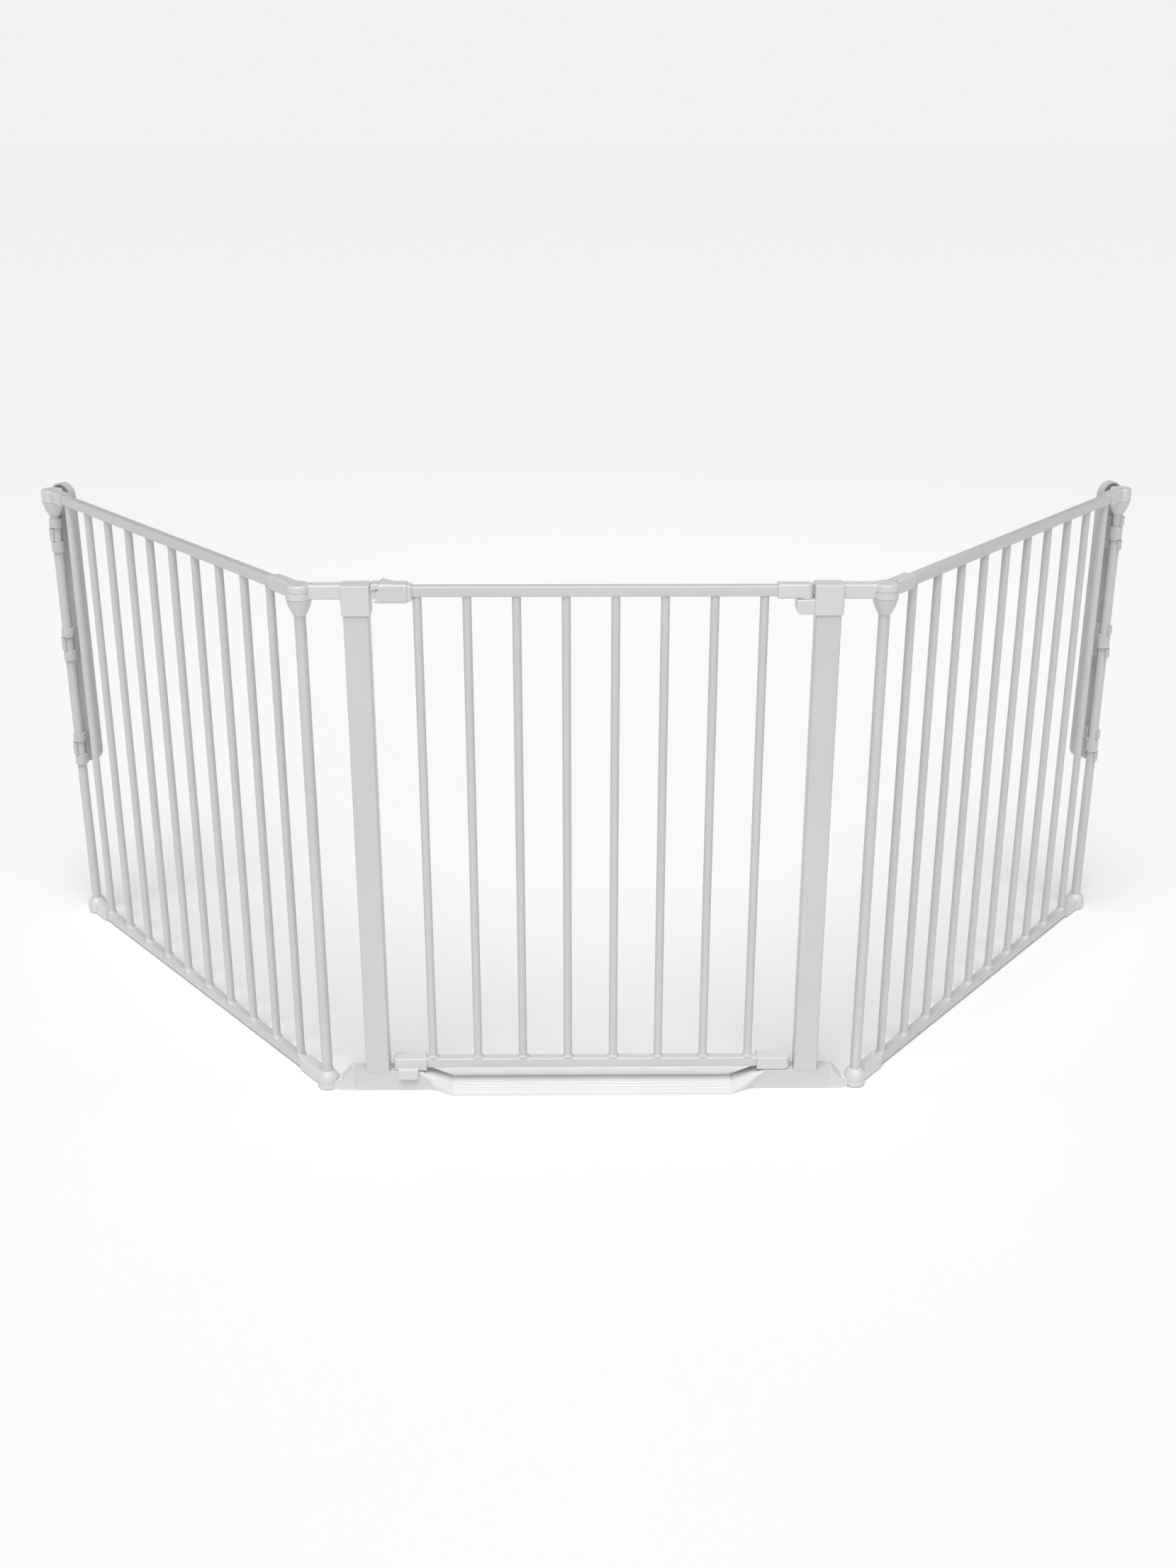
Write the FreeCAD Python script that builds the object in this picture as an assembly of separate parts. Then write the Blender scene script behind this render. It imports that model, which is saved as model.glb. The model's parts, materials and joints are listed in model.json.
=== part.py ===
"""Three-section child safety gate: a door in a U-frame with a folding wing on each side."""
import FreeCAD, Part
import math
import os

os.makedirs("parts", exist_ok=True)

V = FreeCAD.Vector
UP = V(0, 0, 1)

# ---- Overall layout (millimetres, Z up, floor at Z = 0, gate plane at Y = 0) ----
section_length = 720.0      # post axis to post axis, the same for the gate and both wings
wing_angle = 51.0           # how far each wing is folded back from the gate plane
rail_mid_top = 697.0        # height of the axis of every top rail
wing_rail_mid_bottom = 10.75
door_rail_mid_bottom = 38.25

# ---- Steel sections ----
rail_size = 13.5
rail_wall = 1.2
rail_corner = 2.0
bar_diameter = 11.2
bar_wall = 0.9
post_diameter = 14.5
post_wall = 1.2
weld_height = 4.0
weld_spread = 2.8
upright_width = 31.5
upright_depth = 25.0
upright_wall = 1.5
upright_corner = 2.5
upright_centre = 290.0      # X of each upright, either side of the door

# ---- Bars ----
wing_bar_count = 10
wing_bar_first = 70.0       # corner post to first bar
wing_bar_pitch = 66.0
door_bar_count = 8
door_bar_first = -215.4
door_bar_pitch = 61.0

# ---- Threshold ----
threshold_height = 28.5
threshold_depth = 24.0
threshold_wall = 1.5
threshold_seam = 323.5      # X where the steel bar meets its plastic end piece
threshold_inner = 235.0     # X where the mitre at the bar's inner end starts
mitre_run = 23.0
strap_thickness = 3.0
strap_depth = 15.0
ramp_half_flat = 189.0
ramp_front = 28.0
ramp_back = 11.0
ramp_height = 9.2
ramp_lip = 2.8
ramp_shell = 2.2
ramp_crest = 7.3            # distance in front of the gate plane where the slope ends
ramp_crest_drop = 0.6       # the top still rises this much behind the slope
ramp_end_bevel = 3.5        # front bevel on top of the ramp's raised ends
ramp_end_bevel_drop = 3.0
ramp_rib_count = 4
ramp_rib_radius = 1.2
ramp_rib_phase = 0.6        # the first rib's place up the slope, in pitches
ramp_rib_margin = 14.0

# ---- Plastic connectors on the posts ----
sleeve_wall = 2.35
sleeve_corner = 3.0
hub_wall = 8.75             # plastic round the post in the top rings
hub_edge = 3.0
funnel_drop = 21.0          # underside of the hub down to the foot of the funnel
funnel_foot_wall = 0.7
funnel_waist = 3.4          # how far the flank has drawn in at its waist
funnel_waist_at = 0.45      # share of the funnel's height where the waist is
corner_sleeve_reach = 58.0
outer_sleeve_reach = 47.0
rail_stop = 19.0            # how far from a post axis its rails end
hub_base_wall = 7.25        # plastic round the post in the floor rings
hub_base_split = 10.8       # height where the two stacked floor rings meet
hub_base_top = 26.0
hub_base_shoulder = 17.0
hub_base_round = 5.0
hub_base_facet = 0.3        # share of the foot's rounding at its middle corner
hub_base_bevel = 1.6        # shoulder of the floor rings: how far it draws in
hub_base_bevel_rise = 3.6
hub_base_lip = 1.5          # plastic left round the post at the top of a floor ring
end_piece_neck = 10.0       # half width of a threshold end piece where it meets the hub
end_neck_reach = 4.0        # length of that neck beyond the ring
end_slope_inset = 3.5       # seam to the top of the end piece's slope
end_slope_run = 14.0
end_slope_drop = 15.0
plug_length = 14.0          # part of the end piece inside the steel bar
post_foot = 2.0             # plastic left under each post

# ---- Caps on the uprights ----
cap_width = 36.0
cap_depth = 28.0
cap_drop = 37.5             # top of the arm down to the foot of the cap
cap_roof = 3.0
cap_corner = 2.5
cap_edge = 1.5
keeper_reach = 6.8
keeper_front = 8.5
keeper_back = 6.0
keeper_below = 8.5          # under the axis of the top rail
keeper_above = 3.7
keeper_edge = 1.0

# ---- Door furniture ----
door_gap = 1.0              # between the door's ends and the caps
hinge_offset = 13.0         # cap face to hinge axis
hinge_pin_radius = 3.0
pin_depth = 4.0             # how far each pin ends over the axis of its rail
pin_foot_gap = 1.0
pin_hold = 6.5              # lug left round the upper pin when the door is fully lifted
pin_wall_top = 5.0          # plastic between the upper pin and the end of the rail
pin_wall_low = 4.0          # plastic between the lower pin and the end of the rail
hinge_sleeve_length = 44.0
lug_gap = 0.5
lug_reach = 8.5             # from the hinge axis towards the door
lug_depth = 23.0
lug_round = 6.0             # outer lower corner of the lug
lug_edge = 1.5
block_length = 44.5
block_height = 17.0
block_depth = 21.0
block_round = 7.0
block_edge = 1.5
block_end_gap = 5.5         # upright face to the lower blocks
lift_height = 12.0          # how far the door rises on its pins
tab_width = 26.5
tab_thickness = 5.5
tab_height = 13.0
tab_drop = 8.5              # how far the tab hangs below the top of the threshold
tab_inset = 7.0
tab_round = 5.0
tab_gap = 0.6               # tab to the front of the threshold
lower_rail_inset = 5.0
bush_half_length = 10.0
bush_floor = 3.0

# ---- Latch ----
latch_travel = 5.0          # the slider ends level with the collar
latch_length = 44.0         # end block and thumb slider together
end_block_length = 9.5
end_block_above = 10.8      # top of the end block over the axis of the top rail
end_block_round = 2.0
latch_drop = 1.7            # centre of the slider and collar under the axis of the top rail
slider_depth = 22.0
slider_height = 24.0
slider_corner = 3.5
slider_wall = 1.4
nose_inset = 0.2            # side of the slider to the side of the nose
nose_rise = 0.8
nose_below_keeper = 1.0
slider_lip = 3.0
lip_height = 2.6
lip_gap = 0.7               # lip to the front of the keeper
hump_height = 3.8
hump_length = 18.5
hump_start = 0.5
hump_step = 0.6
hump_rise = 4.0             # length over which the hump rises
hump_knee = 1.8             # height of the hump halfway down its long slope
hump_inset = 3.0
collar_length = 10.5
core_size = 15.0
core_corner = 1.0
rail_seat = 1.5             # plastic between the core and the end of the top rail
latch_lug = 3.0
spring_length = 13.8
spring_radius = 2.4
spring_wire = 0.7
spring_turns = 7
spring_wall = 1.0           # plastic between the spring and the collar
spring_side_gap = 0.6

# ---- Wall brackets ----
bracket_width = 39.0
bracket_length = 450.0
bracket_over_rail = 15.0    # top of the tray over the axis of the top rail
bracket_web = 3.0
bracket_rim = 2.5
bracket_rim_depth = 12.0
bracket_gap = 1.0           # between the top ring and the rim of the tray
bracket_turn = 29.0         # how far each wall face is turned from the gate plane
clip_drops = (76.0, 249.5, 423.0)   # middle of each clip under the top of the tray
clip_finger_heights = (15.0, 20.0, 13.0)
clip_finger_wall = 3.0
clip_gap = 1.5
clip_neck = 9.0
clip_wrap = 205.0           # degrees of post held by each finger
clip_lap = 10.0             # degrees that each finger starts past the middle of the neck
screw_hole_radius = 2.25
screw_drops = (116.0, 383.0)

# ---- Clearances ----
running_fit = 0.1           # radial, round anything that turns
slip_fit = 0.15             # a rail in a sleeve
part_gap = 0.4              # between faces that pass each other
overcut = 1.0               # cutting shapes run this far past the face they open
overlap = 0.5               # joined shapes run this far into each other
same = 1e-6                 # edges closer than this lie at the same place

# ---- Places worked out from the sizes above ----
corner_x = section_length / 2.0
post_radius = post_diameter / 2.0
hub_radius = post_radius + hub_wall
hub_base_radius = post_radius + hub_base_wall
sleeve_size = rail_size + 2 * (slip_fit + sleeve_wall)
bracket_distance = hub_radius + bracket_gap + bracket_rim_depth
bracket_top = rail_mid_top + bracket_over_rail
bracket_bottom = bracket_top - bracket_length
clip_heights = [bracket_top - drop for drop in clip_drops]
screw_heights = [bracket_top - drop for drop in screw_drops]
keeper_top = rail_mid_top + keeper_above
slider_top = rail_mid_top - latch_drop + slider_height / 2.0
slider_bottom = slider_top - slider_height
wing_x = corner_x + section_length * math.cos(math.radians(wing_angle))
wing_y = section_length * math.sin(math.radians(wing_angle))
sleeve_low = rail_mid_top - sleeve_size / 2.0
sleeve_high = rail_mid_top + sleeve_size / 2.0
cap_face = upright_centre - cap_width / 2.0
upright_face = upright_centre - upright_width / 2.0
hinge_x = cap_face - hinge_offset
door_left = -(cap_face - door_gap)
door_right = cap_face - door_gap
door_rail_low = door_rail_mid_bottom + rail_size / 2.0
door_rail_high = rail_mid_top - rail_size / 2.0
wall_back = wing_y + bracket_distance * math.cos(math.radians(bracket_turn))
wall_back += bracket_width / 2.0 * math.sin(math.radians(bracket_turn))
collar_start = door_left + latch_length - collar_length + latch_travel
spring_end = collar_start - spring_wall
lug_height = lift_height + pin_hold
top_rail_end = hinge_x - hinge_pin_radius - pin_wall_top
bottom_rail_end = hinge_x - hinge_pin_radius - pin_wall_low
ramp_crest_height = ramp_height - ramp_crest_drop
depth_centre = (wall_back - ramp_front) / 2.0

nodes = {}


# ---- Shape helpers ----
def block(x0, x1, y0, y1, z0, z1):
    """Box between two corners."""
    return Part.makeBox(x1 - x0, y1 - y0, z1 - z0, V(x0, y0, z0))


def rod(radius, z0, z1, x=0.0, y=0.0):
    """Upright cylinder."""
    return Part.makeCylinder(radius, z1 - z0, V(x, y, z0))


def pipe(radius, wall, z0, z1, x=0.0, y=0.0):
    """Upright round tube."""
    return rod(radius, z0, z1, x, y).cut(rod(radius - wall, z0, z1, x, y))


def rounded_outline(width, height, radius):
    """Rectangle with round corners, centred on the origin in the XY plane."""
    a = width / 2.0
    b = height / 2.0
    parts = []
    for sx, sy, start in ((1, 1, 0), (-1, 1, 90), (-1, -1, 180), (1, -1, 270)):
        centre = V(sx * (a - radius), sy * (b - radius), 0)
        parts.append(Part.makeCircle(radius, centre, UP, start, start + 90))
    edges = []
    for arc, following in zip(parts, parts[1:] + parts[:1]):
        edges.append(arc)
        corner = following.valueAt(following.FirstParameter)
        edges.append(Part.makeLine(arc.valueAt(arc.LastParameter), corner))
    return Part.Wire(edges)


def rounded_prism(width, height, radius, length):
    """Solid prism with round long edges, standing on the XY plane."""
    return Part.Face(rounded_outline(width, height, radius)).extrude(V(0, 0, length))


def lay_along_x(prism, x0, z_mid):
    """Turn an upright prism so that it runs along +X from x0, centred at height z_mid."""
    laid = prism.copy()
    laid.rotate(V(0, 0, 0), V(0, 1, 0), 90)
    laid.translate(V(x0, 0, z_mid))
    return laid


def bar_stock(x0, x1, z_mid, size, radius):
    """Solid square stock along X with round edges."""
    return lay_along_x(rounded_prism(size, size, radius, x1 - x0), x0, z_mid)


def square_tube(x0, x1, z_mid):
    """Steel rail along X."""
    inner = rail_size - 2 * rail_wall
    outer_bar = bar_stock(x0, x1, z_mid, rail_size, rail_corner)
    return outer_bar.cut(bar_stock(x0, x1, z_mid, inner, rail_corner - rail_wall))


def turned(points):
    """Solid of revolution about Z from (radius, height) points joined by straight lines."""
    outline = Part.makePolygon([V(r, 0, z) for r, z in points + points[:1]])
    return Part.Face(outline).revolve(V(0, 0, 0), UP, 360)


def prism_xz(points, y0, y1):
    """Prism along Y from (x, z) points."""
    outline = Part.makePolygon([V(x, y0, z) for x, z in points + points[:1]])
    return Part.Face(outline).extrude(V(0, y1 - y0, 0))


def fuse(first, *others):
    """Union with the shared faces cleaned up."""
    return first.fuse(list(others)).removeSplitter()


def place(shape, x, y, angle):
    """Turn about Z at the origin, then move to (x, y)."""
    placed = shape.copy()
    placed.rotate(V(0, 0, 0), UP, angle)
    placed.translate(V(x, y, 0))
    return placed


def mirrored(shape):
    """The same piece on the other side of the gate's centre plane."""
    return shape.mirror(V(0, 0, 0), V(1, 0, 0))


def bar_row(count, first, pitch, z0, z1):
    """Round bars on a rail, each with a weld bead at its foot that stays on the rail's top face."""
    on_rail = block(first - pitch, first + pitch * count, -rail_size / 2.0, rail_size / 2.0, z0, z1)
    bars = []
    for index in range(count):
        x = first + index * pitch
        radius = bar_diameter / 2.0
        bead = Part.makeCone(radius + weld_spread, radius, weld_height, V(x, 0, z0)).common(on_rail)
        tube = rod(radius, z0, z1, x).fuse(bead)
        bars.append(tube.cut(rod(radius - bar_wall, z0, z1, x)))
    return Part.makeCompound(bars)


# ---- Connectors on the posts, drawn with the post axis at the origin and the rail along +X ----
def hub_ring(kind):
    """Top ring round a post: 'upper', 'lower' or 'full' height, with a rounded top edge."""
    split = rail_mid_top
    low = split + part_gap / 2.0 if kind == "upper" else sleeve_low
    high = split - part_gap / 2.0 if kind == "lower" else sleeve_high
    if kind == "lower":
        return rod(hub_radius, low, high)
    ring = rod(hub_radius, low, high)
    return ring.makeFillet(hub_edge, [edge for edge in ring.Edges if is_top_rim(edge, high)])


def is_top_rim(edge, height):
    """True for a circular edge at the given height."""
    box = edge.BoundBox
    return abs(box.ZMin - height) < same and abs(box.ZMax - height) < same


def partner_space(kind, radius, low, split, high):
    """Room for the neighbour's ring, over the height that this connector's own ring leaves free."""
    reach = radius + part_gap
    if kind == "upper":
        return rod(reach, low - overcut, split + part_gap / 2.0)
    return rod(reach, split - part_gap / 2.0, high + overcut)


def rail_pocket(reach, z_mid, pocket_start):
    """Space for a rail inside a sleeve."""
    return bar_stock(pocket_start, reach + overcut, z_mid, rail_size + 2 * slip_fit, rail_corner)


def top_connector(kind, reach):
    """Plastic sleeve over the end of a top rail, with its ring round the post."""
    body = fuse(bar_stock(0.0, reach, rail_mid_top, sleeve_size, sleeve_corner), hub_ring(kind))
    if kind != "full":
        own = hub_ring(kind)
        body = body.cut(partner_space(kind, hub_radius, sleeve_low, rail_mid_top, sleeve_high)).fuse(own)
    body = body.cut(rail_pocket(reach, rail_mid_top, rail_stop - part_gap))
    if kind == "lower":
        return body.cut(rod(post_radius + running_fit, sleeve_low - overcut, sleeve_high))
    return body.cut(rod(post_radius, sleeve_low - overcut, sleeve_high - post_foot))


def floor_ring(kind):
    """Ring or hub standing on the floor: 'upper', 'lower' or 'full' height."""
    radius = hub_base_radius
    bevel_top = hub_base_shoulder + hub_base_bevel_rise
    shoulder = [(radius, hub_base_shoulder), (radius - hub_base_bevel, bevel_top),
                (post_radius + hub_base_lip, hub_base_top), (0.0, hub_base_top)]
    facet = hub_base_facet * hub_base_round
    foot = [(0.0, 0.0), (radius - hub_base_round, 0.0), (radius - facet, facet), (radius, hub_base_round)]
    gap = part_gap / 2.0
    if kind == "upper":
        return turned([(0.0, hub_base_split + gap), (radius, hub_base_split + gap)] + shoulder)
    if kind == "lower":
        return turned(foot + [(radius, hub_base_split - gap), (0.0, hub_base_split - gap)])
    return turned(foot + shoulder)


def finish_floor_connector(body, kind):
    """Cut the neighbour's ring and the post out of a connector at the floor."""
    if kind != "full":
        space = partner_space(kind, hub_base_radius, 0.0, hub_base_split, hub_base_top)
        body = body.cut(space).fuse(floor_ring(kind))
    if kind == "lower":
        return body.cut(rod(post_radius + running_fit, post_foot, hub_base_top + overcut))
    return body.cut(rod(post_radius, post_foot, hub_base_top + overcut))


def bottom_connector(kind, reach):
    """Plastic sleeve over the end of a wing's bottom rail, with its ring on the floor."""
    sleeve = bar_stock(0.0, reach, wing_rail_mid_bottom, sleeve_size, sleeve_corner)
    body = finish_floor_connector(fuse(sleeve, floor_ring(kind)), kind)
    return body.cut(rail_pocket(reach, wing_rail_mid_bottom, rail_stop - part_gap))


def threshold_end(kind):
    """Plastic end piece between the threshold bar and the ring at the corner post."""
    seam = corner_x - threshold_seam
    slope_top = seam - end_slope_inset
    slope_foot = slope_top - end_slope_run
    foot_height = threshold_height - end_slope_drop
    profile = [(0.0, 0.0), (seam, 0.0), (seam, threshold_height), (slope_top, threshold_height),
               (slope_foot, foot_height), (0.0, foot_height)]
    half = threshold_depth / 2.0
    body = prism_xz(profile, -half, half)
    neck_end = hub_base_radius + end_neck_reach
    neck = block(0.0, neck_end, -end_piece_neck, end_piece_neck, 0.0, threshold_height)
    body = body.common(fuse(neck, block(neck_end, seam, -half, half, 0.0, threshold_height)))
    plug_half = half - threshold_wall - slip_fit
    plug_low = threshold_wall + slip_fit
    plug = block(seam, seam + plug_length, -plug_half, plug_half, plug_low, threshold_height - plug_low)
    body = fuse(body, plug, floor_ring(kind))
    return finish_floor_connector(body, kind)


def funnel():
    """Plastic funnel pressed on the post under the top rings."""
    top = sleeve_low - part_gap
    foot = sleeve_low - funnel_drop
    foot_radius = post_radius + funnel_foot_wall
    waist = V(hub_radius - funnel_waist, 0, foot + funnel_waist_at * (top - foot))
    flank = Part.Arc(V(foot_radius, 0, foot), waist, V(hub_radius, 0, top))
    edges = [Part.makeLine(V(0, 0, foot), V(foot_radius, 0, foot)), flank.toShape(),
             Part.makeLine(V(hub_radius, 0, top), V(0, 0, top)), Part.makeLine(V(0, 0, top), V(0, 0, foot))]
    body = Part.Face(Part.Wire(edges)).revolve(V(0, 0, 0), UP, 360)
    return body.cut(rod(post_radius, foot, top))


def post():
    """Steel post from its floor hub up into the top ring."""
    return pipe(post_radius, post_wall, post_foot, sleeve_high - post_foot)


# ---- Gate frame ----
def upright():
    """Flat steel upright beside the door, at X = 0."""
    height = sleeve_high - cap_roof - threshold_height
    outside = rounded_prism(upright_width, upright_depth, upright_corner, height)
    inside = rounded_prism(upright_width - 2 * upright_wall, upright_depth - 2 * upright_wall,
                           upright_corner - upright_wall, height)
    tube = outside.cut(inside)
    tube.translate(V(0, 0, threshold_height))
    return tube


def arm_tube():
    """Short steel tube welded to the upright, inside the plastic arm, drawn for the left side."""
    return square_tube(-corner_x + rail_stop, -upright_centre - upright_width / 2.0, rail_mid_top)


def cap_body():
    """Plastic cap over the head of an upright, at X = 0, closed at the top."""
    outside = rounded_prism(cap_width, cap_depth, cap_corner, cap_drop)
    outside.translate(V(0, 0, sleeve_high - cap_drop))
    top_edges = [edge for edge in outside.Edges if is_top_rim(edge, sleeve_high)]
    outside = outside.makeFillet(cap_edge, top_edges)
    inside = rounded_prism(upright_width + 2 * slip_fit, upright_depth + 2 * slip_fit, upright_corner,
                           cap_drop - cap_roof)
    inside.translate(V(0, 0, sleeve_high - cap_drop))
    return outside, inside


def top_fitting(kind, side):
    """Cap, arm and hinge ring in one moulding; side is -1 at the latch and 1 at the hinge."""
    outside, inside = cap_body()
    reach = corner_x - upright_centre
    arm = place(top_connector(kind, reach), side * corner_x, 0, 0 if side < 0 else 180)
    body = fuse(arm, place(outside, side * upright_centre, 0, 0))
    body = body.cut(place(inside, side * upright_centre, 0, 0))
    tube_space = bar_stock(-corner_x + rail_stop - part_gap, -upright_centre, rail_mid_top,
                           rail_size + 2 * slip_fit, rail_corner)
    return body.cut(tube_space if side < 0 else mirrored(tube_space))


def left_top_fitting():
    """Fitting at the latch side, with the keeper that the latch closes on."""
    keeper = block(-cap_face - overcut, -cap_face + keeper_reach, -keeper_front, keeper_back,
                   rail_mid_top - keeper_below, keeper_top)
    end_edges = [edge for edge in keeper.Edges
                 if edge.BoundBox.ZLength < same and edge.BoundBox.XMin > -cap_face + keeper_reach - same]
    return fuse(top_fitting("lower", -1), keeper.makeFillet(keeper_edge, end_edges))


def right_top_fitting():
    """Fitting at the hinge side, with the lug that carries the upper hinge pin."""
    lug_top = sleeve_low - lug_gap
    lug_left = hinge_x - lug_reach
    lug_foot = lug_top - lug_height
    front = -lug_depth / 2.0
    lug = block(lug_left, cap_face + overcut, front, -front, lug_foot, lug_top)
    corner = [edge for edge in lug.Edges
              if edge.BoundBox.XMax < lug_left + same and edge.BoundBox.ZMax < lug_foot + same]
    lug = lug.makeFillet(lug_round, corner)
    rim = [edge for edge in lug.Edges if edge.BoundBox.YMax < front + same and edge.BoundBox.XMin < cap_face]
    lug = lug.makeFillet(lug_edge, rim)
    body = fuse(top_fitting("upper", 1), lug)
    return body.cut(rod(hinge_pin_radius + running_fit, lug_foot, lug_top, hinge_x))


def threshold_bar():
    """Steel box bar on the left of the walkway, mitred at its inner end under the ramp."""
    outer = [(-threshold_seam, 0.0), (-threshold_inner + mitre_run, 0.0),
             (-threshold_inner, threshold_height), (-threshold_seam, threshold_height)]
    half = threshold_depth / 2.0
    bar = prism_xz(outer, -half, half)
    hollow = block(-threshold_seam, 0.0, -half + threshold_wall, half - threshold_wall,
                   threshold_wall, threshold_height - threshold_wall)
    return bar.cut(hollow)


def mitre_x(z):
    """Distance of the bar's mitred end from the middle of the doorway at height z."""
    return threshold_inner - mitre_run * (1.0 - z / threshold_height)


def ramp_section(points, shell, side, station):
    """Closed cross-section through (y, z) points, front foot first, moved inwards by the shell wall."""
    below = -2.0 * shell
    (y0, z0), (y1, z1), (y2, z2), (y3, z3), (y4, z4) = points
    moved = [(y0 + shell, z0 + below), (y1 + shell, z1 - 0.7 * shell), (y2, z2 - shell),
             (y3 - shell, z3 - shell), (y4 - shell, z4 + below)]
    corners = [V(side * station(z), y, z) for y, z in moved]
    return Part.makePolygon(corners + corners[:1])


def ramp_body(shell):
    """Flat run across the doorway with a rising end at each side that meets the bar's mitre."""
    half = threshold_depth / 2.0
    rise = [(-half, 0.0), (-half, threshold_height - ramp_end_bevel_drop),
            (-half + ramp_end_bevel, threshold_height), (half, threshold_height), (half, 0.0)]
    flat = [(-ramp_front, 0.0), (-ramp_front, ramp_lip), (-ramp_crest, ramp_crest_height),
            (ramp_back, ramp_height), (ramp_back, 0.0)]
    sections = [ramp_section(rise, shell, -1, mitre_x),
                ramp_section(flat, shell, -1, lambda z: ramp_half_flat),
                ramp_section(flat, shell, 1, lambda z: ramp_half_flat),
                ramp_section(rise, shell, 1, mitre_x)]
    pieces = [Part.makeLoft([near, far], True, True) for near, far in zip(sections, sections[1:])]
    return pieces[0].fuse(pieces[1:])


def ramp():
    """Moulded ramp over the threshold strap, with fine anti-slip ribs along its slope."""
    body = ramp_body(0.0).cut(ramp_body(ramp_shell))
    slope = (ramp_crest_height - ramp_lip) / (ramp_front - ramp_crest)
    ribs = []
    for index in range(ramp_rib_count):
        run = (index + ramp_rib_phase) / ramp_rib_count * (ramp_front - ramp_crest)
        start = V(-ramp_half_flat + ramp_rib_margin / 2.0, run - ramp_front, ramp_lip + run * slope)
        length = 2 * ramp_half_flat - ramp_rib_margin
        ribs.append(Part.makeCylinder(ramp_rib_radius, length, start, V(1, 0, 0)))
    return fuse(body, *ribs)


def hinge_bush():
    """Plastic bush inside the right threshold bar that guides the lower hinge pin."""
    half = threshold_depth / 2.0 - threshold_wall - slip_fit
    low = threshold_wall + slip_fit
    body = block(hinge_x - bush_half_length, hinge_x + bush_half_length, -half, half,
                 threshold_wall, threshold_height - low)
    bore_foot = threshold_wall + bush_floor
    return body.cut(rod(hinge_pin_radius + running_fit, bore_foot, threshold_height, hinge_x))


# ---- Door ----
def latch_housing():
    """Door end block, spring core and collar on the latch end of the top rail."""
    end_right = door_left + end_block_length
    keeper_clear = -cap_face + keeper_reach + part_gap
    head_top = rail_mid_top + end_block_above
    head = block(door_left, end_right, -block_depth / 2.0, block_depth / 2.0, keeper_top + part_gap, head_top)
    head = head.makeFillet(end_block_round, [edge for edge in head.Edges if is_top_rim(edge, head_top)])
    stem = block(keeper_clear + part_gap, end_right, -core_size / 2.0, core_size / 2.0,
                 rail_mid_top - core_size / 2.0, keeper_top + part_gap + overlap)
    core = bar_stock(end_right - overlap, collar_start + overlap, rail_mid_top, core_size, core_corner)
    inset = 2 * (slider_wall + part_gap)
    collar = rounded_prism(slider_height - inset, slider_depth - inset, slider_corner - slider_wall,
                           collar_length)
    collar = lay_along_x(collar, collar_start, rail_mid_top - latch_drop)
    body = fuse(head, stem, core, collar)
    rail_space = bar_stock(collar_start + rail_seat, collar_start + collar_length + overcut, rail_mid_top,
                           rail_size + 2 * slip_fit, rail_corner)
    return body.cut(rail_space).cut(spring_pocket())


def spring_pocket():
    """Groove in the back of the core for the latch spring and the slider's lug."""
    length = spring_length + latch_lug + part_gap
    half_height = spring_radius + part_gap
    return block(spring_end - length, spring_end, core_size / 2.0 - 2 * spring_radius - spring_side_gap,
                 core_size / 2.0 + overcut, rail_mid_top - half_height, rail_mid_top + half_height)


def latch_slider():
    """Thumb slider with a grip hump, a nose beside the keeper and a lip in front of it."""
    left = door_left + end_block_length
    right = door_left + latch_length
    half = slider_depth / 2.0
    shell = lay_along_x(rounded_prism(slider_height, slider_depth, slider_corner, right - left), left,
                        (slider_top + slider_bottom) / 2.0)
    hump_left = left + hump_start
    hump_peak = hump_left + hump_rise
    hump_right = hump_left + hump_length
    hump_foot = slider_top - slider_wall
    hump_middle = (hump_peak + hump_right) / 2.0
    hump_profile = [(hump_left, hump_foot), (hump_left, slider_top + hump_step),
                    (hump_peak, slider_top + hump_height), (hump_middle, slider_top + hump_knee),
                    (hump_right, slider_top), (hump_right, hump_foot)]
    hump = prism_xz(hump_profile, -half + hump_inset, half - hump_inset)
    nose_left = -cap_face + keeper_reach + part_gap
    nose_right = left + slider_wall
    nose_front = -half + nose_inset
    nose_low = slider_bottom + nose_rise
    nose = block(nose_left, nose_right, nose_front, -core_size / 2.0 - part_gap, nose_low,
                 keeper_top - nose_below_keeper)
    lip = block(nose_left - slider_lip, nose_right, nose_front, -keeper_front - lip_gap, nose_low,
                nose_low + lip_height)
    cavity = rounded_prism(slider_height - 2 * slider_wall, slider_depth - 2 * slider_wall,
                           slider_corner - slider_wall, right - left + 2 * overcut)
    cavity = lay_along_x(cavity, left - overcut, rail_mid_top - latch_drop)
    lug_left = spring_end - spring_length - latch_lug
    lug = block(lug_left, lug_left + latch_lug, core_size / 2.0 - 2 * spring_radius, half - overlap,
                rail_mid_top - spring_radius, rail_mid_top + spring_radius)
    return fuse(fuse(shell, hump).cut(cavity), nose, lip, lug)


def latch_spring():
    """Compression spring between the slider's lug and the end of its groove."""
    coil_radius = spring_radius - spring_wire
    length = spring_length - spring_wire
    helix = Part.makeHelix(length / spring_turns, length, coil_radius)
    profile = Part.Wire(Part.makeCircle(spring_wire / 2.0, V(coil_radius, 0, 0), V(0, 1, 0)))
    coil = Part.Wire(helix).makePipeShell([profile], True, True)
    coil.rotate(V(0, 0, 0), V(0, 1, 0), 90)
    coil_start = spring_end - spring_length + spring_wire / 2.0
    coil.translate(V(coil_start, core_size / 2.0 - spring_radius, rail_mid_top))
    return coil


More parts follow.
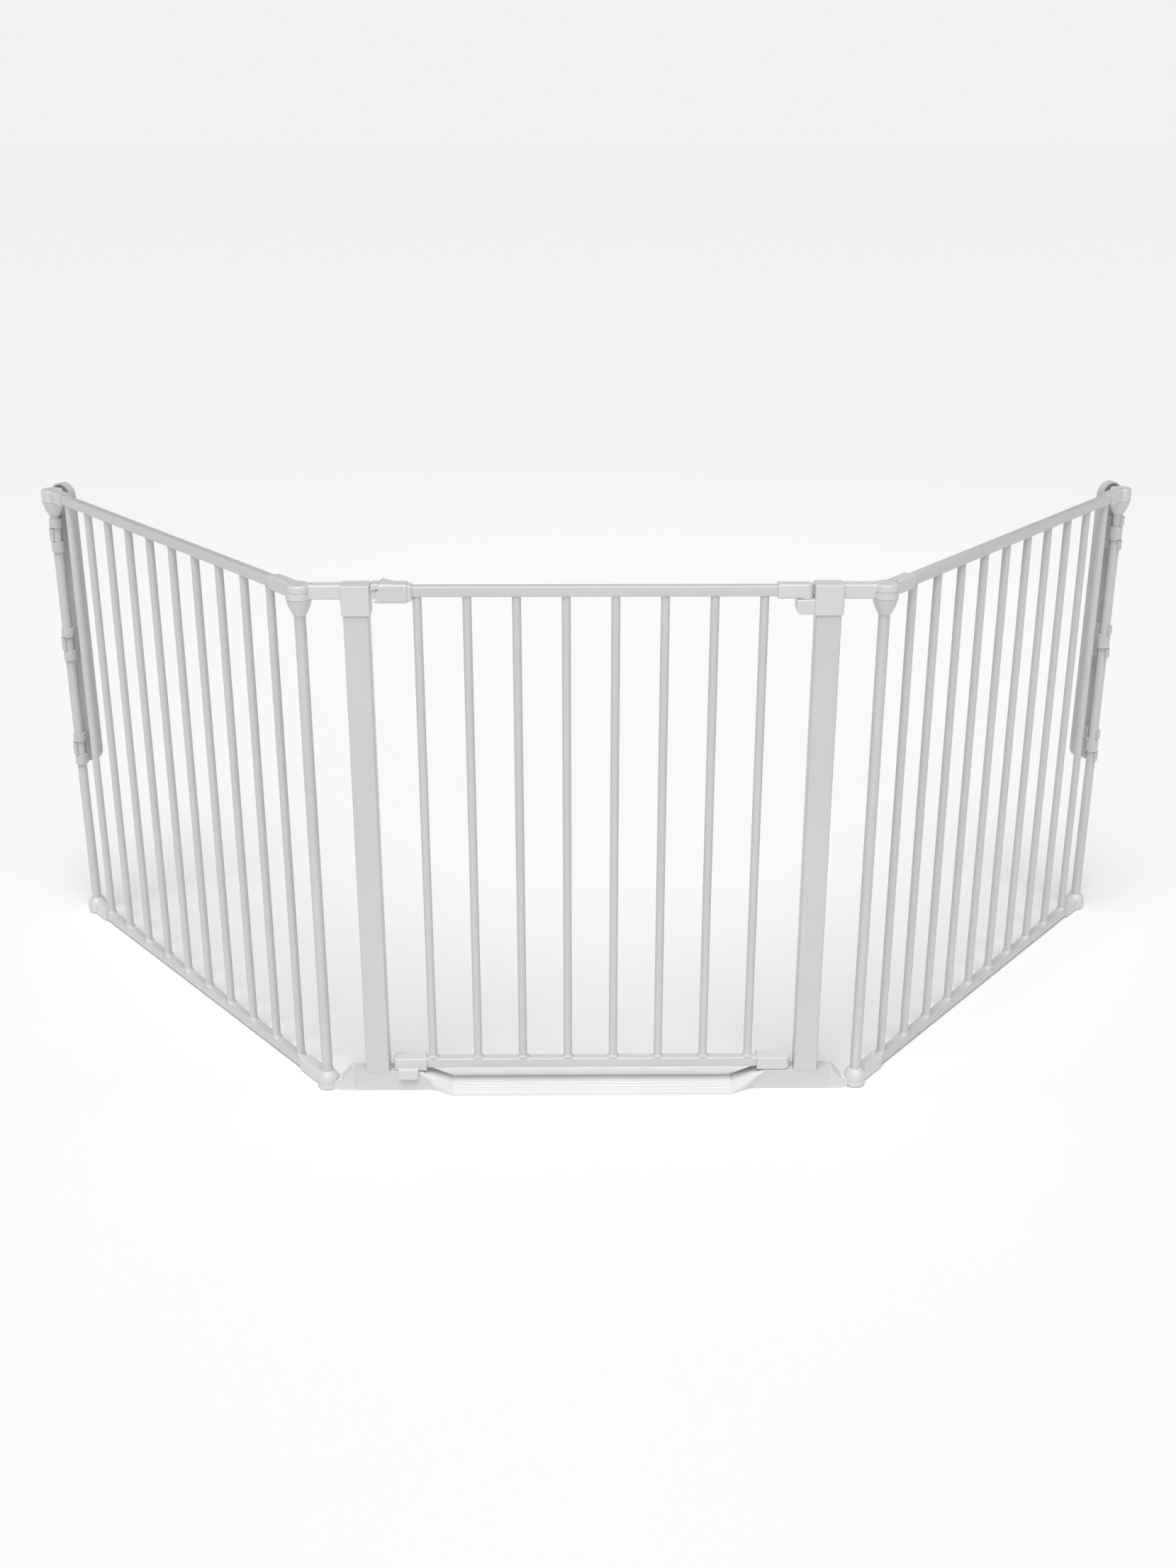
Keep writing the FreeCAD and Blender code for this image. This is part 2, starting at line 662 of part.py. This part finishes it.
def hinge_sleeve():
    """Sleeve on the hinge end of the top rail, round-ended so that it turns beside the cap."""
    end_radius = sleeve_size / 2.0
    left = door_right - hinge_sleeve_length
    body = bar_stock(left, door_right - end_radius, rail_mid_top, sleeve_size, sleeve_corner)
    nose = rod(end_radius, sleeve_low, sleeve_high, door_right - end_radius)
    nose = nose.makeFillet(hub_edge, [edge for edge in nose.Edges if is_top_rim(edge, sleeve_high)])
    body = fuse(body, nose)
    rail_space = bar_stock(left - overcut, top_rail_end, rail_mid_top, rail_size + 2 * slip_fit, rail_corner)
    pin_top = rail_mid_top + pin_depth + running_fit
    bore = rod(hinge_pin_radius + running_fit, sleeve_low - overcut, pin_top, hinge_x)
    return body.cut(rail_space).cut(bore)


def lower_block(rail_end):
    """Block round one end of the door's bottom rail, from X = 0 at its outer end, rail along +X."""
    half = block_depth / 2.0
    low = door_rail_mid_bottom - block_height / 2.0
    high = door_rail_mid_bottom + block_height / 2.0
    body = block(0.0, block_length, -half, half, low, high)
    standing = [edge for edge in body.Edges if edge.BoundBox.XMax < same and edge.BoundBox.ZLength > same]
    body = body.makeFillet(block_round, [edge for edge in standing if edge.BoundBox.YLength < same])
    body = body.makeFillet(block_edge, [edge for edge in body.Edges if is_top_rim(edge, high)])
    rail_space = bar_stock(rail_end - part_gap, block_length + overcut, door_rail_mid_bottom,
                           rail_size + 2 * slip_fit, rail_corner)
    return body.cut(rail_space)


def lock_block():
    """Lower block at the latch side, with the tab that hangs in front of the threshold bar."""
    left = -(upright_face - block_end_gap)
    body = lower_block(lower_rail_inset)
    body.translate(V(left, 0, 0))
    tab_low = threshold_height - tab_drop
    front = threshold_depth / 2.0 + tab_gap
    tab_left = left + tab_inset
    tab = block(tab_left, tab_left + tab_width, -front - tab_thickness, -front, tab_low, tab_low + tab_height)
    low_corners = [edge for edge in tab.Edges
                   if edge.BoundBox.XLength < same and edge.BoundBox.ZMax < tab_low + same]
    tab = tab.makeFillet(tab_round, low_corners)
    bridge = block(tab_left, tab_left + tab_width, -front - overlap, -block_depth / 2.0 + overlap,
                   door_rail_mid_bottom - block_height / 2.0, tab_low + tab_height)
    return fuse(body, tab, bridge)


def hinge_block():
    """Lower block at the hinge side, bored for the lower hinge pin."""
    right = upright_face - block_end_gap
    body = mirrored(lower_block(right - bottom_rail_end))
    body.translate(V(right, 0, 0))
    low = door_rail_mid_bottom - block_height / 2.0
    bore = rod(hinge_pin_radius + running_fit, low, door_rail_mid_bottom + pin_depth + running_fit, hinge_x)
    return body.cut(bore)


# ---- Wall bracket, drawn with the post axis at the origin and the wall along +Y of its own frame ----
def stadium(width, z0, z1, y, depth):
    """Plate with round ends, in the XZ plane, from y to y + depth."""
    radius = width / 2.0
    top = Part.makeCircle(radius, V(0, y, z1 - radius), V(0, -1, 0), 0, 180)
    bottom = Part.makeCircle(radius, V(0, y, z0 + radius), V(0, -1, 0), 180, 360)
    sides = [Part.makeLine(V(-radius, y, z1 - radius), V(-radius, y, z0 + radius)),
             Part.makeLine(V(radius, y, z0 + radius), V(radius, y, z1 - radius))]
    return Part.Face(Part.Wire(Part.sortEdges([top, bottom] + sides)[0])).extrude(V(0, depth, 0))


def clip(z_mid):
    """Snap clip: three fingers that grip the post from alternate sides."""
    inner = post_radius + running_fit
    outer_radius = inner + clip_finger_wall
    web_face = bracket_distance - bracket_web
    height = sum(clip_finger_heights) + 2 * clip_gap
    neck = block(-clip_neck / 2.0, clip_neck / 2.0, inner, web_face + overlap,
                 z_mid - height / 2.0, z_mid + height / 2.0)
    fingers = []
    low = z_mid - height / 2.0
    for finger, side in zip(clip_finger_heights, (0, 1, 0)):
        start = 90.0 - clip_lap if side else 90.0 + clip_lap - clip_wrap
        pie = Part.makeCylinder(outer_radius, finger, V(0, 0, low), UP, clip_wrap)
        pie.rotate(V(0, 0, 0), UP, start)
        fingers.append(pie)
        low += finger + clip_gap
    return fuse(neck, *fingers).cut(rod(inner, z_mid - height, z_mid + height))


def wall_bracket():
    """Tray against the wall with three snap clips and two screw holes."""
    wall = bracket_distance
    tray = stadium(bracket_width, bracket_bottom, bracket_top, wall - bracket_rim_depth, bracket_rim_depth)
    hollow = stadium(bracket_width - 2 * bracket_rim, bracket_bottom + bracket_rim, bracket_top - bracket_rim,
                     wall - bracket_rim_depth, bracket_rim_depth - bracket_web)
    body = fuse(tray.cut(hollow), *[clip(z) for z in clip_heights])
    for z in screw_heights:
        start = V(0, wall - 1.5 * bracket_web, z)
        hole = Part.makeCylinder(screw_hole_radius, 2 * bracket_web, start, V(0, 1, 0))
        body = body.cut(hole)
    return body


# ---- Assembly ----
def add(name, shape):
    """Keep a finished piece under its node name, in the row frame."""
    moved = shape.copy()
    moved.translate(V(0, -depth_centre, 0))
    nodes[name] = moved


def add_gate_frame():
    """Everything that stands still round the doorway."""
    for side, name in ((-1, "left"), (1, "right")):
        add(name + "_upright", place(upright(), side * upright_centre, 0, 0))
        tube = arm_tube()
        add(name + "_arm_tube", tube if side < 0 else mirrored(tube))
    add("left_top_fitting", left_top_fitting())
    add("right_top_fitting", right_top_fitting())
    add("left_threshold_bar", threshold_bar())
    pin_hole = rod(hinge_pin_radius + part_gap, threshold_height / 2.0, threshold_height + overcut, hinge_x)
    add("right_threshold_bar", mirrored(threshold_bar()).cut(pin_hole))
    add("left_threshold_end", place(threshold_end("lower"), -corner_x, 0, 0))
    add("right_threshold_end", place(threshold_end("upper"), corner_x, 0, 180))
    strap_end = threshold_inner
    add("threshold_strap", block(-strap_end, strap_end, -strap_depth / 2.0, strap_depth / 2.0,
                                 threshold_wall, threshold_wall + strap_thickness))
    add("threshold_ramp", ramp())
    add("hinge_bush", hinge_bush())
    add("right_corner_post", place(post(), corner_x, 0, 0))
    add("right_corner_funnel", place(funnel(), corner_x, 0, 0))


def add_door():
    """The leaf, its hinge pins and its latch."""
    add("door_top_rail", square_tube(collar_start + rail_seat, top_rail_end - part_gap, rail_mid_top))
    bottom_left = -(upright_face - block_end_gap) + lower_rail_inset
    add("door_bottom_rail", square_tube(bottom_left, bottom_rail_end, door_rail_mid_bottom))
    add("door_bars", bar_row(door_bar_count, door_bar_first, door_bar_pitch, door_rail_low, door_rail_high))
    add("latch_housing", latch_housing())
    add("latch_slider", latch_slider())
    add("latch_spring", latch_spring())
    add("hinge_sleeve", hinge_sleeve())
    add("lock_block", lock_block())
    add("hinge_block", hinge_block())
    upper_foot = sleeve_low - lug_gap - lug_height + pin_foot_gap
    lower_foot = threshold_wall + bush_floor + pin_foot_gap
    add("upper_hinge_pin", rod(hinge_pin_radius, upper_foot, rail_mid_top + pin_depth, hinge_x))
    add("lower_hinge_pin", rod(hinge_pin_radius, lower_foot, door_rail_mid_bottom + pin_depth, hinge_x))


def add_wing(name, side, corner_kind):
    """One folding wing; its corner post comes with it when its corner rings are the upper ones."""
    angle = wing_angle if side > 0 else 180.0 - wing_angle
    x = side * corner_x

    def put(node, shape):
        add(name + "_" + node, place(shape, x, 0, angle))

    def put_outer(node, shape):
        add(name + "_" + node, place(shape, side * wing_x, wing_y, angle + 180.0))

    rail_end = section_length - rail_stop
    put("top_rail", square_tube(rail_stop, rail_end, rail_mid_top))
    put("bottom_rail", square_tube(rail_stop, rail_end, wing_rail_mid_bottom))
    put("bars", bar_row(wing_bar_count, wing_bar_first, wing_bar_pitch,
                        wing_rail_mid_bottom + rail_size / 2.0, rail_mid_top - rail_size / 2.0))
    put("corner_top_sleeve", top_connector(corner_kind, corner_sleeve_reach))
    put("corner_bottom_sleeve", bottom_connector(corner_kind, corner_sleeve_reach))
    put_outer("outer_top_sleeve", top_connector("full", outer_sleeve_reach))
    put_outer("outer_bottom_sleeve", bottom_connector("full", outer_sleeve_reach))
    put_outer("outer_post", post())
    put_outer("outer_funnel", funnel())
    if corner_kind == "upper":
        put("corner_post", post())
        put("corner_funnel", funnel())


def add_wall_brackets():
    """The same bracket clipped on each outer post."""
    add("left_wall_bracket", place(wall_bracket(), -wing_x, wing_y, -bracket_turn))
    add("right_wall_bracket", place(wall_bracket(), wing_x, wing_y, bracket_turn))


add_gate_frame()
add_door()
add_wing("left_wing", -1, "upper")
add_wing("right_wing", 1, "lower")
add_wall_brackets()

for node_name, node_shape in nodes.items():
    node_shape.exportStep("parts/" + node_name + ".step")
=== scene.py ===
"""Studio picture of the child safety gate: materials, light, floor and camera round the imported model."""
import json
import math

import bpy
from mathutils import Matrix, Vector


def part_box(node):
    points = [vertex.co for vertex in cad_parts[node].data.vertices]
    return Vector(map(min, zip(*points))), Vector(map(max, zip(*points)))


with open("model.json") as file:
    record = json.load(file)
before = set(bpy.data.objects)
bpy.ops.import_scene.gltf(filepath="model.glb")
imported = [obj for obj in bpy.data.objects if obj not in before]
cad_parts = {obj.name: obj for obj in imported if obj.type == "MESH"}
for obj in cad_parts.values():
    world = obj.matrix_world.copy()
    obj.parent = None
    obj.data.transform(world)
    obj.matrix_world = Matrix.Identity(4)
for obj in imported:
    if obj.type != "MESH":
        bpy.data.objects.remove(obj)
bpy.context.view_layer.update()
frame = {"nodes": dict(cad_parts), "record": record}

# ---- Camera: in front of the gate at about chest height, looking down at it ----
CAMERA_LENS = 40.24                         # mm
CAMERA_SENSOR = 36.0                        # mm along the picture's long side
CAMERA_PLACE = (-0.0277, -2.0863, 1.2583)   # metres from the doorway's centre on the floor
CAMERA_TILT = 21.36                         # degrees down
CAMERA_YAW = 0.61                           # degrees towards +X
CAMERA_ROLL = 0.05                          # degrees anticlockwise, seen from behind the camera
CAMERA_REACH = 50.0                         # metres, past which nothing is drawn


def doorway():
    """Middle of the doorway on the floor, in the row frame."""
    low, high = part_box("door_top_rail")
    return Vector((0.0, (low[1] + high[1]) / 2, 0.0))


def add_camera():
    """The camera at the chosen viewing angle."""
    data = bpy.data.cameras.new("camera")
    data.sensor_width = CAMERA_SENSOR
    data.lens = CAMERA_LENS
    data.clip_end = CAMERA_REACH
    camera = bpy.data.objects.new("camera", data)
    bpy.context.scene.collection.objects.link(camera)
    turn = Matrix.Rotation(math.radians(-CAMERA_YAW), 4, "Z")
    tilt = Matrix.Rotation(math.radians(90.0 - CAMERA_TILT), 4, "X")
    roll = Matrix.Rotation(math.radians(CAMERA_ROLL), 4, "Z")
    camera.matrix_world = Matrix.Translation(doorway() + Vector(CAMERA_PLACE)) @ turn @ tilt @ roll
    bpy.context.scene.camera = camera


# ---- Studio: places in metres, powers in watts, linear colours ----
FLOOR_SIZE = 120.0
FLOOR_TONE = (0.93, 0.93, 0.93)
FLOOR_GLOW = 0.07                           # keeps the far floor as pale as the backdrop
FLOOR_ROUGHNESS = 0.9
FLOOR_SHINE = 0.1

BACKDROP_TONE = (0.885, 0.885, 0.885)       # what the camera sees past the floor
AMBIENT_TONE = (0.95, 0.97, 1.0)            # what lights the gate from all round
AMBIENT_STRENGTH = 0.06

OVERHEAD_STRENGTH = 2.9
OVERHEAD_SPREAD = 40.0                      # degrees across, for soft shadows
OVERHEAD_LEAN = 24.0                        # degrees off straight down, towards the back
OVERHEAD_TURN = -8.0                        # degrees about the vertical

KEY_PLACE = (-0.25, -3.1, 1.9)
KEY_TARGET = (0.1, 0.0, 0.45)
KEY_SIZE = (1.3, 1.1)
KEY_POWER = 6.0
KEY_TONE = (1.0, 0.985, 0.975)

BACK_PLACE = (0.3, 2.9, 2.1)
BACK_TARGET = (0.0, 0.1, 0.4)
BACK_SIZE = (2.0, 1.0)
BACK_POWER = 5.0

WHITE = (1.0, 1.0, 1.0)


def opaque(tone):
    """A colour with the fourth channel that Blender's sockets want."""
    return (*tone, 1.0)


def area_light(name, place, target, size, power, tone=WHITE):
    """Soft rectangular light aimed at a point."""
    data = bpy.data.lights.new(name, "AREA")
    data.shape = "RECTANGLE"
    data.size, data.size_y = size
    data.energy = power
    data.color = tone
    light = bpy.data.objects.new(name, data)
    bpy.context.scene.collection.objects.link(light)
    light.location = place
    light.rotation_euler = (Vector(target) - Vector(place)).to_track_quat("-Z", "Y").to_euler()


def add_studio():
    """Pale floor under a broad overhead light from the front, with a key in front and a fill behind."""
    bpy.ops.mesh.primitive_plane_add(size=FLOOR_SIZE, location=(0.0, 0.0, 0.0))
    floor = bpy.context.object
    floor.name = "floor"
    floor.data.materials.append(floor_material())
    add_world()
    sun = bpy.data.lights.new("overhead", "SUN")
    sun.energy = OVERHEAD_STRENGTH
    sun.angle = math.radians(OVERHEAD_SPREAD)
    overhead = bpy.data.objects.new("overhead", sun)
    bpy.context.scene.collection.objects.link(overhead)
    overhead.rotation_euler = (math.radians(OVERHEAD_LEAN), 0.0, math.radians(OVERHEAD_TURN))
    area_light("key", KEY_PLACE, KEY_TARGET, KEY_SIZE, KEY_POWER, KEY_TONE)
    area_light("back", BACK_PLACE, BACK_TARGET, BACK_SIZE, BACK_POWER)


def add_world():
    """Plain pale surroundings, which light the gate only gently."""
    world = bpy.data.worlds.new("world")
    bpy.context.scene.world = world
    world.use_nodes = True
    nodes = world.node_tree.nodes
    links = world.node_tree.links
    seen = nodes["Background"]
    seen.inputs["Color"].default_value = opaque(BACKDROP_TONE)
    seen.inputs["Strength"].default_value = 1.0
    lighting = nodes.new("ShaderNodeBackground")
    lighting.inputs["Color"].default_value = opaque(AMBIENT_TONE)
    lighting.inputs["Strength"].default_value = AMBIENT_STRENGTH
    choose = nodes.new("ShaderNodeMixShader")
    links.new(nodes.new("ShaderNodeLightPath").outputs["Is Camera Ray"], choose.inputs["Fac"])
    links.new(lighting.outputs["Background"], choose.inputs[1])
    links.new(seen.outputs["Background"], choose.inputs[2])
    links.new(choose.outputs["Shader"], nodes["World Output"].inputs["Surface"])


def floor_material():
    """Matt pale floor."""
    material = bpy.data.materials.new("studio_floor")
    material.use_nodes = True
    shader = material.node_tree.nodes["Principled BSDF"]
    shader.inputs["Base Color"].default_value = opaque(FLOOR_TONE)
    shader.inputs["Roughness"].default_value = FLOOR_ROUGHNESS
    shader.inputs["Specular IOR Level"].default_value = FLOOR_SHINE
    shader.inputs["Emission Color"].default_value = opaque(WHITE)
    shader.inputs["Emission Strength"].default_value = FLOOR_GLOW
    return material


# ---- Materials: lengths in metres, linear colours ----
EDGE_RADIUS = 0.0008                        # how far the lightening reaches from an edge
EDGE_FLAT, EDGE_SHARP = 1.0, 0.85           # cosine of the turn where the lightening begins and where it is full
EDGE_LIFT = 0.05                            # how much paler a plastic is made where its surface turns sharply
PALEST = 0.9                                # no plastic edge is lightened past this
RAMP_START, RAMP_END = 0.3, 0.7             # the part of a noise that a colour ramp spreads out
MIX_FROM, MIX_TO, MIX_RESULT = 6, 7, 2      # a Mix node's colour sockets, by place: others share their names

COAT_LOW = (0.655, 0.643, 0.638)
COAT_HIGH = (0.690, 0.678, 0.673)
COAT_EDGE = (0.86, 0.85, 0.845)

NYLON = (0.735, 0.728, 0.726)
SLIDER_NYLON = (0.700, 0.693, 0.693)
# painted shade: the bracket is the same white nylon as the other parts, given a darker tone that stands in
# for the shade inside its tray
BRACKET_NYLON_SHADED = (0.65, 0.64, 0.635)
RAMP_PLASTIC = (0.80, 0.795, 0.80)
ACETAL = (0.72, 0.72, 0.70)
FLOW_CONTRAST = 0.018                       # how far flow marks vary a plastic's colour
FLOW_STRETCH = (1.0, 1.0, 0.4)              # drawn out along Z
SOAK = 0.04                                 # share of the light that soaks into a plastic
SOAK_DEPTH = (0.004, 0.004, 0.003)          # for red, green and blue, times the shader's own scale

ZINC = (0.66, 0.66, 0.67)
SPRING_WIRE = (0.45, 0.45, 0.47)
STREAK_CONTRAST = 0.06
STREAKS_UP = (1.0, 1.0, 0.15)               # noise drawn out along Z
STREAKS_ACROSS = (0.2, 1.0, 1.0)            # noise drawn out along X


class Recipe:
    """Small helper that wires a procedural material round one Principled shader."""

    def __init__(self, name, roughness, metallic=0.0, coat=0.0, coat_roughness=0.1):
        self.material = bpy.data.materials.new(name)
        self.material.use_nodes = True
        self.tree = self.material.node_tree
        self.shader = self.tree.nodes["Principled BSDF"]
        self.shader.inputs["Metallic"].default_value = metallic
        self.shader.inputs["Roughness"].default_value = roughness
        self.shader.inputs["Coat Weight"].default_value = coat
        self.shader.inputs["Coat Roughness"].default_value = coat_roughness
        self.place = self.tree.nodes.new("ShaderNodeTexCoord").outputs["Object"]
        self.roughness = roughness
        self.normal = None

    def add(self, kind, **values):
        """A node with its input sockets set by name."""
        node = self.tree.nodes.new(kind)
        for key, value in values.items():
            node.inputs[key.replace("_", " ")].default_value = value
        return node

    def noise(self, scale, detail=3.0, stretch=None):
        """Noise in object space; stretch scales the axes, to draw it out into streaks."""
        texture = self.add("ShaderNodeTexNoise", Scale=scale, Detail=detail)
        source = self.place
        if stretch:
            mapping = self.add("ShaderNodeMapping", Scale=stretch)
            self.tree.links.new(source, mapping.inputs["Vector"])
            source = mapping.outputs["Vector"]
        self.tree.links.new(source, texture.inputs["Vector"])
        return texture.outputs["Fac"]

    def ramp(self, source, low, high):
        """Maps a noise to a span of colours."""
        node = self.add("ShaderNodeValToRGB")
        first, last = node.color_ramp.elements
        first.position, last.position = RAMP_START, RAMP_END
        first.color, last.color = opaque(low), opaque(high)
        self.tree.links.new(source, node.inputs["Fac"])
        return node.outputs["Color"]

    def feed(self, socket, source):
        """Links a value to one of the shader's sockets."""
        self.tree.links.new(source, self.shader.inputs[socket])

    def vary_roughness(self, source, down, up):
        """Lets a noise move the roughness between a little under and a little over its plain value."""
        node = self.add("ShaderNodeMapRange", To_Min=self.roughness - down, To_Max=self.roughness + up)
        self.tree.links.new(source, node.inputs["Value"])
        self.feed("Roughness", node.outputs["Result"])

    def bump(self, height, strength, distance):
        """Adds a bump on top of those added before."""
        node = self.add("ShaderNodeBump", Strength=strength, Distance=distance)
        self.tree.links.new(height, node.inputs["Height"])
        if self.normal:
            self.tree.links.new(self.normal, node.inputs["Normal"])
        self.normal = node.outputs["Normal"]
        self.feed("Normal", self.normal)


def lighten_sharp_edges(recipe, colour, edge_colour, amount):
    """Lightens the colour where the surface turns sharply."""
    bevel = recipe.add("ShaderNodeBevel", Radius=EDGE_RADIUS)
    geometry = recipe.add("ShaderNodeNewGeometry")
    dot = recipe.add("ShaderNodeVectorMath")
    dot.operation = "DOT_PRODUCT"
    recipe.tree.links.new(bevel.outputs["Normal"], dot.inputs[0])
    recipe.tree.links.new(geometry.outputs["Normal"], dot.inputs[1])
    mask = recipe.add("ShaderNodeMapRange", From_Min=EDGE_FLAT, From_Max=EDGE_SHARP, To_Max=amount)
    recipe.tree.links.new(dot.outputs["Value"], mask.inputs["Value"])
    mix = recipe.add("ShaderNodeMix")
    mix.data_type = "RGBA"
    recipe.tree.links.new(mask.outputs["Result"], mix.inputs["Factor"])
    recipe.tree.links.new(colour, mix.inputs[MIX_FROM])
    mix.inputs[MIX_TO].default_value = opaque(edge_colour)
    return mix.outputs[MIX_RESULT]


def powder_coat():
    """White powder coat on steel: faint orange peel and slight clouding."""
    recipe = Recipe("powder_coat", roughness=0.34, coat=0.25, coat_roughness=0.22)
    colour = recipe.ramp(recipe.noise(scale=6.0, detail=4.0), COAT_LOW, COAT_HIGH)
    recipe.feed("Base Color", lighten_sharp_edges(recipe, colour, COAT_EDGE, amount=0.6))
    recipe.vary_roughness(recipe.noise(scale=45.0, detail=2.0), down=0.05, up=0.06)
    recipe.bump(recipe.noise(scale=420.0, detail=2.0), strength=0.10, distance=0.0004)
    recipe.bump(recipe.noise(scale=90.0, detail=1.0), strength=0.05, distance=0.0006)
    return recipe.material


def moulded(name, tone, roughness, grain=900.0, sheen=0.0):
    """Injection-moulded plastic with a fine spark-eroded grain and soft flow marks."""
    recipe = Recipe(name, roughness, coat=sheen, coat_roughness=0.12)
    low = tuple(channel - FLOW_CONTRAST for channel in tone)
    high = tuple(channel + FLOW_CONTRAST for channel in tone)
    colour = recipe.ramp(recipe.noise(scale=14.0, stretch=FLOW_STRETCH), low, high)
    pale = tuple(min(channel + EDGE_LIFT, PALEST) for channel in tone)
    recipe.feed("Base Color", lighten_sharp_edges(recipe, colour, pale, amount=0.5))
    recipe.vary_roughness(recipe.noise(scale=60.0), down=0.05, up=0.06)
    recipe.bump(recipe.noise(scale=grain, detail=2.0), strength=0.12, distance=0.0002)
    recipe.bump(recipe.noise(scale=30.0, detail=2.0), strength=0.04, distance=0.0008)
    recipe.shader.inputs["Subsurface Weight"].default_value = SOAK
    recipe.shader.inputs["Subsurface Radius"].default_value = SOAK_DEPTH
    return recipe.material


def bare_steel(name, tone, roughness, streaks):
    """Plated or drawn steel with fine streaks."""
    recipe = Recipe(name, roughness, metallic=1.0)
    lines = recipe.noise(scale=120.0, stretch=streaks)
    low = tuple(channel - STREAK_CONTRAST for channel in tone)
    recipe.feed("Base Color", recipe.ramp(lines, low, tone))
    recipe.vary_roughness(recipe.noise(scale=200.0, stretch=streaks), down=0.08, up=0.1)
    recipe.bump(lines, strength=0.08, distance=0.0002)
    return recipe.material


def paint_nodes():
    """Gives each CAD node the finish that its record slot names."""
    finishes = {
        "coated_steel": powder_coat(),
        "moulded_plastic": moulded("moulded_nylon", NYLON, roughness=0.38, sheen=0.15),
        "slider_plastic": moulded("slider_nylon", SLIDER_NYLON, roughness=0.36, sheen=0.15),
        # painted shade: the bracket's darker nylon stands in for the shade in its tray
        "bracket_plastic": moulded("bracket_nylon_painted_shade", BRACKET_NYLON_SHADED, roughness=0.42),
        "ramp_plastic": moulded("ramp_gloss", RAMP_PLASTIC, roughness=0.20, grain=500.0, sheen=0.7),
        "plated_steel": bare_steel("zinc_plate", ZINC, roughness=0.34, streaks=STREAKS_UP),
        "spring_steel": bare_steel("spring_wire", SPRING_WIRE, roughness=0.30, streaks=STREAKS_ACROSS),
        "bush_plastic": moulded("bush_acetal", ACETAL, roughness=0.38),
    }
    slots = {entry["node"]: entry["material_slot"] for entry in frame["record"]["subparts"]}
    for name, node in frame["nodes"].items():
        node.data.materials.clear()
        node.data.materials.append(finishes[slots[name]])


bpy.context.scene.view_settings.view_transform = "Standard"
paint_nodes()
add_studio()
add_camera()
bpy.context.view_layer.update()
